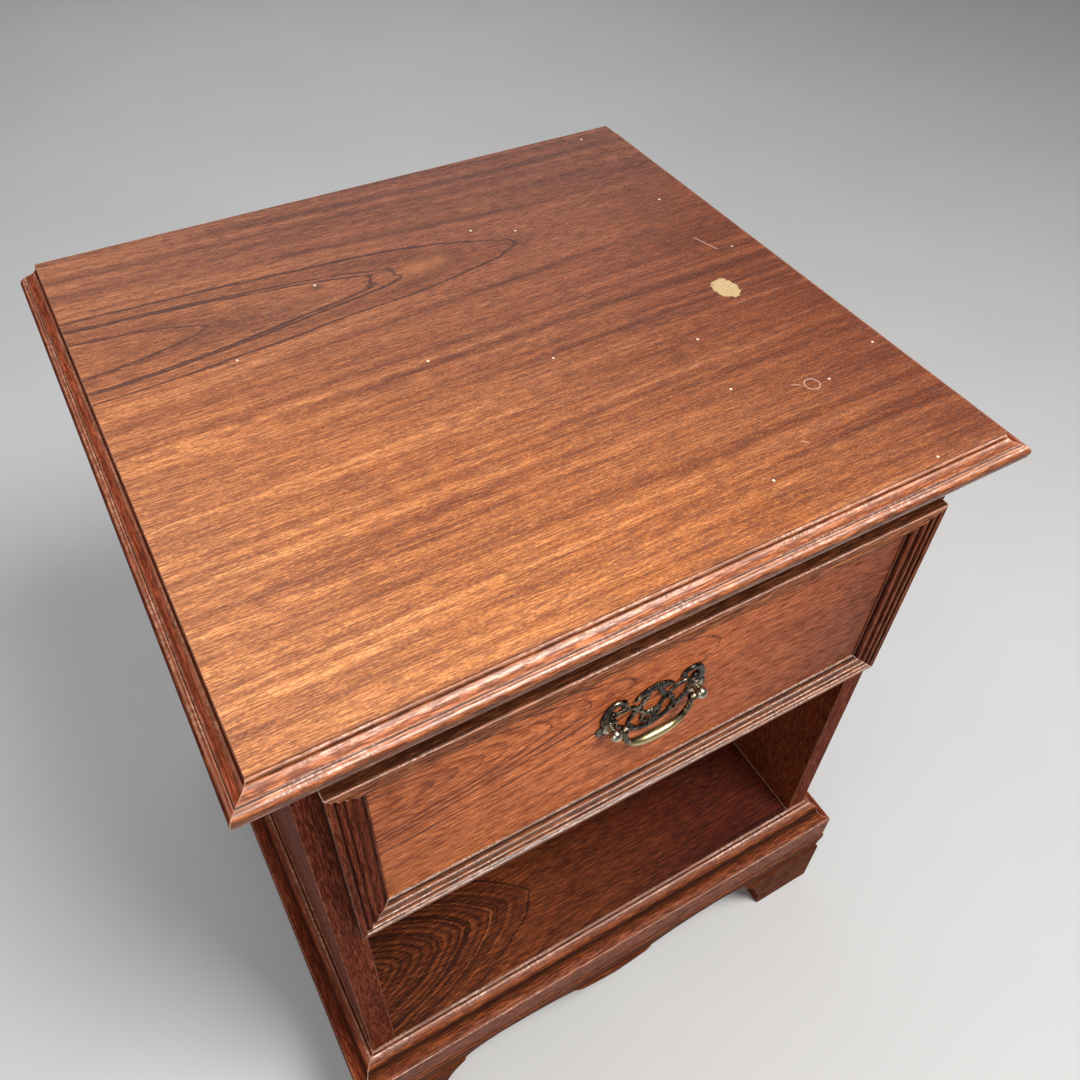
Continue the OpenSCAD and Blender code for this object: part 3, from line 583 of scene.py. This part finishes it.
# painted light and shade on the drawer frame: the top and left pieces get faint reeds, the bottom and right
# strong painted highlights and groove shadows, and the top's upper face is painted dark as shade
frame_top = wood("frame_top", XZY, lighter(BROWN, 1.15), (250, 320, 0, 0.02), **SATIN, marks=dusty(),
                 rub_and_glint=GLINT, profile=(within(Z), *SHADED_REEDS))
frame_x = wood("frame_x", XZY, BROWN, (250, 320, 0, 0.02), **dict(POLISHED, wear=1.2), marks=dusty(),
               rub_and_glint=GLINT, profile=(within(Z), *LIT_REEDS))
frame_left = wood("frame_left", ZXY, lighter(DEEP, 1.15), (-320, 320, 500, 0.02), **FAINT,
                  marks=dusty(), profile=(within(X), *SHADED_REEDS))
frame_right = wood("frame_right", ZXY, lighter(DEEP, 1.2), (-320, 320, 500, 0.02), **FAINT,
                   marks=dusty(), profile=(within(X), *LIT_REEDS))
side_wood = wood("case_side", ZYX, lighter(DEEP, 1.4), (-330, 320, 300, 0.03), **DULL, marks=dusty())
rail_wood = wood("rail_x", XZY, lighter(DEEP, 1.8), (250, 320, 0, 0.02), **dict(DULL, wear=0.0))
pale_x = wood("plain_x", XZY, PALE, (330, 90, 0, 0.05), **BARE)
pale_y = wood("plain_y", YZX, PALE, (330, 90, 0, 0.05), **BARE)
pale_z = wood("plain_z", ZXY, PALE, (330, 90, 0, 0.05), **BARE)
ply_z = wood("plywood_z", ZXY, PLY, (40, 60, 200, 0.10), rings=(16, 0.2, 160), **BARE)
ply_x = wood("plywood_x", XYZ, PLY, (0, 60, 0, 0.10), rings=(16, 0.2, 160), **BARE)

# ---------------------------------------------------------------- metal


def metal(name, high, low, rough, wear=1.0, grain=0.5, polish=None):
    """Patinated metal: high is the bare colour on edges and crowns, low the patina in hollows. polish
    takes the shade and returns a mask of what hands keep bright."""
    s = Shade(name)
    edge, open_ = s.edges(0.8, 2.5)
    mottle = s.noise(s.place, 0.35, 4.0, 0.6)
    fine = s.noise(s.place, 1.6, 3.0, 0.6)
    bare = s.math("ADD", s.math("MULTIPLY", edge, wear), s.step(mottle, 0.56 - 0.1 * wear, 0.72), clamp=True)
    bare = s.math("MULTIPLY", bare, s.step(open_, 0.35, 0.8))
    if polish:
        bare = s.math("MAXIMUM", bare, polish(s))
    colour = s.mix(bare, low, high)
    rough = s.math("ADD", s.math("MULTIPLY_ADD", mottle, 0.25, rough - 0.12), s.math("MULTIPLY", fine, 0.1))
    return s.finish(colour, rough, s.bump(fine, 0.08, grain), Metallic=1.0)


def rubbed_low(s):
    """The lower half of the hanging bail is bright."""
    return s.step(s.axes[Z], BAIL_LO[Z] + 12, BAIL_LO[Z] + 5)


bronze = metal("dark_bronze", (0.34, 0.28, 0.20), (0.030, 0.026, 0.023), 0.27, 0.7)
rubbed_bronze = metal("rubbed_bronze", (0.78, 0.73, 0.60), (0.34, 0.29, 0.21), 0.2)
brass = metal("worn_brass", (0.60, 0.49, 0.25), (0.050, 0.042, 0.032), 0.28, 0.5, 0.3, rubbed_low)
steel = metal("steel", (0.62, 0.62, 0.64), (0.30, 0.29, 0.28), 0.34, 0.5, 0.3)

# ---------------------------------------------------------------- handle, in mm from its pivot

POST_LEFT, POST_RIGHT = middle("handle_post_left"), middle("handle_post_right")
PIVOT = Vector((*middle("handle_bail")[:2], POST_LEFT[Z]))
POST_X = (POST_RIGHT[X] - POST_LEFT[X]) / 2


def smooth_line(points, steps):
    """Points along a Catmull-Rom line."""
    p = [Vector(q) for q in points]
    last = len(p) - 1
    out = []
    for i in range(last):
        a, b, c, d = p[max(0, i - 1)], p[i], p[i + 1], p[min(last, i + 2)]
        for k in range(steps):
            u = k / steps
            out.append(0.5 * (2 * b + (c - a) * u + (2 * a - 5 * b + 4 * c - d) * u * u
                              + (3 * b - a - 3 * c + d) * u ** 3))
    out.append(p[-1])
    return out


def skin(bm, loops):
    """Closed loops of equal length joined into one tube with flat ends."""
    rows = [[bm.verts.new(v) for v in loop] for loop in loops]
    n = len(rows[0])
    for a, b in zip(rows, rows[1:]):
        for k in range(n):
            bm.faces.new((a[k], a[(k + 1) % n], b[(k + 1) % n], b[k]))
    bm.faces.new(rows[0][::-1])
    bm.faces.new(rows[-1])


def circle(sides):
    """Angles round a full turn."""
    return [2 * math.pi * k / sides for k in range(sides)]


# a rib's section: share of its half width, and height above the panel; what is above WALL can be lifted
RIB = ((-1, 0), (-1, 0.8), (-0.86, 1.3), (-0.5, 1.75), (0, 1.55), (0.5, 1.75), (0.86, 1.3), (1, 0.8), (1, 0))
WALL = 0.8


def rib(bm, points, widths, side, lift=1.0):
    """A cast rib with a fluted crown along points (across, up), mirrored when side is -1."""
    line = smooth_line([(side * x, z, w / 2) for (x, z), w in zip(points, widths)], 6)
    loops = []
    for i, q in enumerate(line):
        t = (line[min(len(line) - 1, i + 1)] - line[max(0, i - 1)]).to_2d().normalized()
        n = Vector((-t.y, t.x))
        loops.append([(q.x + n.x * a * q.z, -h * (lift if h > WALL else 1), q.y + n.y * a * q.z)
                      for a, h in RIB])
    skin(bm, loops)


def turned(bm, profile, centre):
    """A closed turned shape on an axis along Y. profile is (radius, out from the panel)."""
    skin(bm, [[(centre[0] + r * math.cos(a), -h, centre[1] + r * math.sin(a)) for a in circle(32)]
              for r, h in profile])


def bead(bm, at, r):
    bmesh.ops.create_icosphere(bm, subdivisions=2, radius=r, matrix=Matrix.Translation(at))


def cast(name, bm, voxel, smooth_turns, place, look, body):
    """Fuses overlapping solids into one cast skin at place, in mm, and rides it on a body."""
    bmesh.ops.recalc_face_normals(bm, faces=bm.faces)
    bmesh.ops.transform(bm, matrix=Matrix.Scale(MM, 4) @ Matrix.Translation(place), verts=bm.verts)
    mesh = bpy.data.meshes.new(name)
    bm.to_mesh(mesh)
    bm.free()
    ob = bpy.data.objects.new(name, mesh)
    bpy.context.scene.collection.objects.link(ob)
    fuse = ob.modifiers.new("fuse", "REMESH")
    fuse.mode, fuse.voxel_size, fuse.use_smooth_shade = "VOXEL", voxel * MM, True
    ease = ob.modifiers.new("ease", "SMOOTH")
    ease.factor, ease.iterations = 0.5, smooth_turns
    mesh.materials.append(look)
    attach(ob, body)
    return ob


def plate_half(bm, side):
    """One half of the pierced plate: seat of the post, ear, scrolls, crown, heart and swag."""
    turned(bm, [(1.2, 0), (5.8, 0), (6.2, 0.8), (5.9, 1.5), (5.3, 1.7), (1.2, 1.7)], (side * POST_X, 0))
    turned(bm, [(0.4, 0), (5.2, 0), (5.3, 0.9), (4.6, 1.5), (3.4, 1.1), (2.0, 1.3), (0.4, 1.9)],
           (side * (POST_X + 3.8), -2.4))
    # hooked ear with its volute, then the scroll from the ear in to the heart
    rib(bm, [(31, 2), (34.5, 7.4), (34.4, 13), (32, 18), (27.6, 20.4), (23, 19.2), (20.6, 16.4),
             (21.8, 14.2)], [7, 6.4, 5, 4.6, 4.2, 3.8, 3.2, 2.2], side, 1.35)
    bead(bm, (side * 22.0, -1.1, 14.9), 1.7)
    bead(bm, (side * 29.6, -1.2, 11.2), 2.3)
    rib(bm, [(34, 5.4), (24, 8.6), (16.4, 7.8), (11, 3.4), (6.6, -3.3), (2, -7.5), (-3, -10)],
        [5, 3.6, 3.6, 3.4, 3.2, 3, 2.4], side)
    # crown, its beads and its leg
    rib(bm, [(-1, 19), (4, 18.6), (9, 16.8), (13.8, 13.6)], [5.2, 5, 4.2, 2.0], side, 1.3)
    for k in range(6):
        x = 1.1 + 2.2 * k
        bead(bm, (side * x, -1.0, 21.3 - 0.045 * x * x), 1.15 - 0.06 * k)
    rib(bm, [(4.4, 18), (5.6, 10.6), (10, 3.4), (14.4, -1.2), (16.4, -6), (16, -10), (13.6, -14.4)],
        [5, 4, 3.4, 3.2, 3, 3, 3.4], side, 1.2)
    bead(bm, (side * 9.6, -1.2, 3.6), 2.1)
    # heart, then the swag along the bottom
    rib(bm, [(-1, -5.6), (4.6, -6.6), (6.8, -10.4), (4.6, -14.2), (-1, -17.4)], [2.6, 2.8, 2.8, 2.8, 3],
        side)
    rib(bm, [(31, -1), (25, -6.6), (17.4, -13.4), (9, -19.2), (-1, -22.4)], [6, 4.2, 4, 4, 4.4], side, 1.1)
    bead(bm, (side * 17.0, -1.0, -13.6), 1.9)


plate = bmesh.new()
for side in (1, -1):
    plate_half(plate, side)
rib(plate, [(0, -16), (0, -22.6)], [4.4, 5.2], 1, 1.3)
bead(plate, (0, -1.3, -6.6), 2.2)
plate_relief = cast("handle_backplate_cast", plate, 0.28, 2, (PIVOT.x, PLATE_Y, PIVOT.z), bronze, "drawer")
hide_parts("handle_backplate")

ARM_X, BAIL_FALL, BAIL_POWER = POST_X - 7, 23, 0.74
RINGS, SIDES = 96, 24
EYE_IN, EYE_OUT, EYE_R = -1.7, POST_X - 4.6 - ARM_X, 2.7
EYE_PROFILE = ((EYE_R - 0.7, EYE_IN), (EYE_R, EYE_IN + 0.6), (EYE_R, EYE_OUT - 0.5), (EYE_R - 0.5, EYE_OUT),
               (1.5, EYE_OUT), (1.5, 7.4))


def bail_at(u):
    """The bail's middle line, a superellipse's lower half, for u from 0 to 1."""
    c, sn = math.cos(math.pi * u), math.sin(math.pi * u)
    return Vector((math.copysign(abs(c) ** BAIL_POWER, c) * ARM_X, 0, -BAIL_FALL * max(sn, 0) ** BAIL_POWER))


def bail_ring(u):
    """The bail's section at u: it swells in the middle and has a small collar near each eye."""
    t = (bail_at(min(1, u + 0.008)) - bail_at(max(0, u - 0.008))).normalized()
    collar = math.exp(-((min(u, 1 - u) - 0.13) / 0.012) ** 2)
    r = 2 + 1.4 * math.sin(math.pi * u) ** 4 + 0.35 * collar
    n = Vector((t.z, 0, -t.x))
    return [bail_at(u) + r * (n * math.cos(a) + Vector((0, 0.94, 0)) * math.sin(a)) for a in circle(SIDES)]


bail = bmesh.new()
skin(bail, [bail_ring(i / RINGS) for i in range(RINGS + 1)])
for side in (1, -1):
    turn = Matrix.Rotation(side * math.pi / 2, 4, "Y")
    skin(bail, [[turn @ Vector((r * math.cos(a), r * math.sin(a), h)) + Vector((side * ARM_X, 0, 0))
                 for a in circle(SIDES)] for r, h in EYE_PROFILE])
bail_cast = cast("handle_bail_cast", bail, 0.2, 1, (PIVOT.x, PIVOT.y, PIVOT.z), brass, "bail")
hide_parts("handle_bail")

# ---------------------------------------------------------------- the CAD nodes

LOOKS = {
    top_wood: ["top_panel"],
    drawer_wood: ["drawer_front_board"],
    shelf_wood: ["shelf_board"],
    edge_x: ["top_moulding_front"],
    edge_y_shaded: ["top_moulding_left", "top_moulding_right"],
    base_x: ["base_moulding_front"],
    base_y_shaded: ["base_moulding_left", "base_moulding_right"],
    plinth_x: ["plinth_front"],
    plinth_y: ["plinth_left", "plinth_right"],
    frame_top: ["drawer_frame_top"],
    frame_x: ["drawer_frame_bottom"],
    frame_left: ["drawer_frame_left"],
    frame_right: ["drawer_frame_right"],
    side_wood: ["side_panel_left", "side_panel_right"],
    rail_wood: ["top_rail_front", "top_rail_rear", "drawer_rail_front", "drawer_rail_rear", "plinth_rear"],
    pale_x: ["bottom_rail_front", "bottom_rail_rear", "drawer_back"],
    pale_y: ["kicker_left", "kicker_right", "runner_left", "runner_right", "shelf_cleat_left",
             "shelf_cleat_right", "base_cleat_left", "base_cleat_right", "drawer_side_left",
             "drawer_side_right"],
    pale_z: ["corner_blocks"],
    ply_z: ["back_panel"],
    ply_x: ["drawer_bottom"],
    rubbed_bronze: ["handle_post_left", "handle_post_right"],
    steel: ["back_pins", "top_screws", "drawer_bottom_screws", "handle_washers", "handle_nuts"],
}

# width of the softened edges in mm
WOOD_EDGE, METAL_EDGE = 0.35, 0.12
OWN_EDGE = {"top_panel": 0.5, "drawer_front_board": 0.3, "shelf_board": 0.4, "side_panel_left": 0.9,
            "side_panel_right": 0.9}
# edges that turn by more than this many degrees are bevelled, and past the second one shaded sharp
BEVEL_TURN, SHARP_TURN = 28, 32


def sharp_edges(angle):
    """A modifier group that shades smooth except across edges sharper than angle."""
    g = bpy.data.node_groups.new("sharp_edges", "GeometryNodeTree")
    g.interface.new_socket("Geometry", in_out="INPUT", socket_type="NodeSocketGeometry")
    g.interface.new_socket("Geometry", in_out="OUTPUT", socket_type="NodeSocketGeometry")
    make = g.nodes.new
    start, end = make("NodeGroupInput"), make("NodeGroupOutput")
    turn = make("GeometryNodeInputMeshEdgeAngle")
    sharp = make("FunctionNodeCompare")
    sharp.data_type, sharp.operation = "FLOAT", "GREATER_THAN"
    faces, edges = make("GeometryNodeSetShadeSmooth"), make("GeometryNodeSetShadeSmooth")
    edges.domain = "EDGE"
    faces.inputs["Shade Smooth"].default_value = True
    edges.inputs["Shade Smooth"].default_value = False
    sharp.inputs["B"].default_value = angle
    g.links.new(start.outputs[0], faces.inputs["Geometry"])
    g.links.new(faces.outputs[0], edges.inputs["Geometry"])
    g.links.new(turn.outputs["Unsigned Angle"], sharp.inputs["A"])
    g.links.new(sharp.outputs["Result"], edges.inputs["Selection"])
    g.links.new(edges.outputs[0], end.inputs[0])
    return g


SHARP = sharp_edges(math.radians(SHARP_TURN))


def soften(ob, width):
    """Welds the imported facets, rounds the edges, and keeps flat faces flat."""
    weld = ob.modifiers.new("weld", "WELD")
    weld.merge_threshold = 1e-6
    bevel = ob.modifiers.new("soft_edges", "BEVEL")
    bevel.width, bevel.segments = width * MM, 2
    bevel.limit_method, bevel.angle_limit = "ANGLE", math.radians(BEVEL_TURN)
    ob.modifiers.new("sharp", "NODES").node_group = SHARP
    flat = ob.modifiers.new("flat_faces", "WEIGHTED_NORMAL")
    flat.keep_sharp, flat.weight = True, 80


for look, names in LOOKS.items():
    edge_width = METAL_EDGE if look in (rubbed_bronze, steel) else WOOD_EDGE
    for node in names:
        ob = nodes[node]
        ob.data.materials.clear()
        ob.data.materials.append(look)
        ob.data.polygons.foreach_set("use_smooth", [True] * len(ob.data.polygons))
        soften(ob, OWN_EDGE.get(node, edge_width))

# ---------------------------------------------------------------- floor, light, camera

floor_shade = Shade("floor_pale")
tone = floor_shade.noise(floor_shade.place, 0.004, 3.0, 0.5)
floor_look = floor_shade.finish(floor_shade.mix(tone, (0.50, 0.50, 0.50), (0.55, 0.55, 0.55)), 0.6)
bpy.ops.mesh.primitive_plane_add(size=12, location=(0, 0, 0))
floor = bpy.context.object
floor.name = "floor"
floor.data.materials.append(floor_look)


def area(name, place, size, power, colour):
    """A square light that looks at the object's middle."""
    data = bpy.data.lights.new(name, "AREA")
    data.shape, data.size, data.energy, data.color = "SQUARE", size, power, colour
    ob = bpy.data.objects.new(name, data)
    bpy.context.scene.collection.objects.link(ob)
    ob.location = place
    ob.rotation_euler = (Vector((0, 0, 0.35)) - Vector(place)).to_track_quat("-Z", "Y").to_euler()


area("key", (0.46, -0.95, 2.2), 0.72, 58, (1.0, 0.98, 0.95))
area("overhead", (-0.5, 0.7, 2.6), 2.0, 22, (0.98, 0.98, 1.0))
area("wall_glow", (0.7, 2.3, 1.3), 2.0, 7, (0.95, 0.97, 1.0))
area("fill", (-2.0, -1.6, 1.4), 1.6, 20, (1.0, 0.98, 0.96))

world = bpy.data.worlds.new("room")
world.use_nodes = True
world.node_tree.nodes["Background"].inputs["Color"].default_value = (0.86, 0.87, 0.90, 1)
world.node_tree.nodes["Background"].inputs["Strength"].default_value = 0.22
bpy.context.scene.world = world
bpy.context.scene.view_settings.view_transform = "Standard"

camera_data = bpy.data.cameras.new("camera")
camera_data.lens, camera_data.sensor_width = 32.72, 36
camera_data.shift_x, camera_data.shift_y = -0.0027, -0.0094
camera = bpy.data.objects.new("camera", camera_data)
bpy.context.scene.collection.objects.link(camera)
camera.location = (-0.2346, -0.4527, 0.992)
camera.rotation_euler = [math.radians(a) for a in (42.666, -1.575, -29.972)]
bpy.context.scene.camera = camera
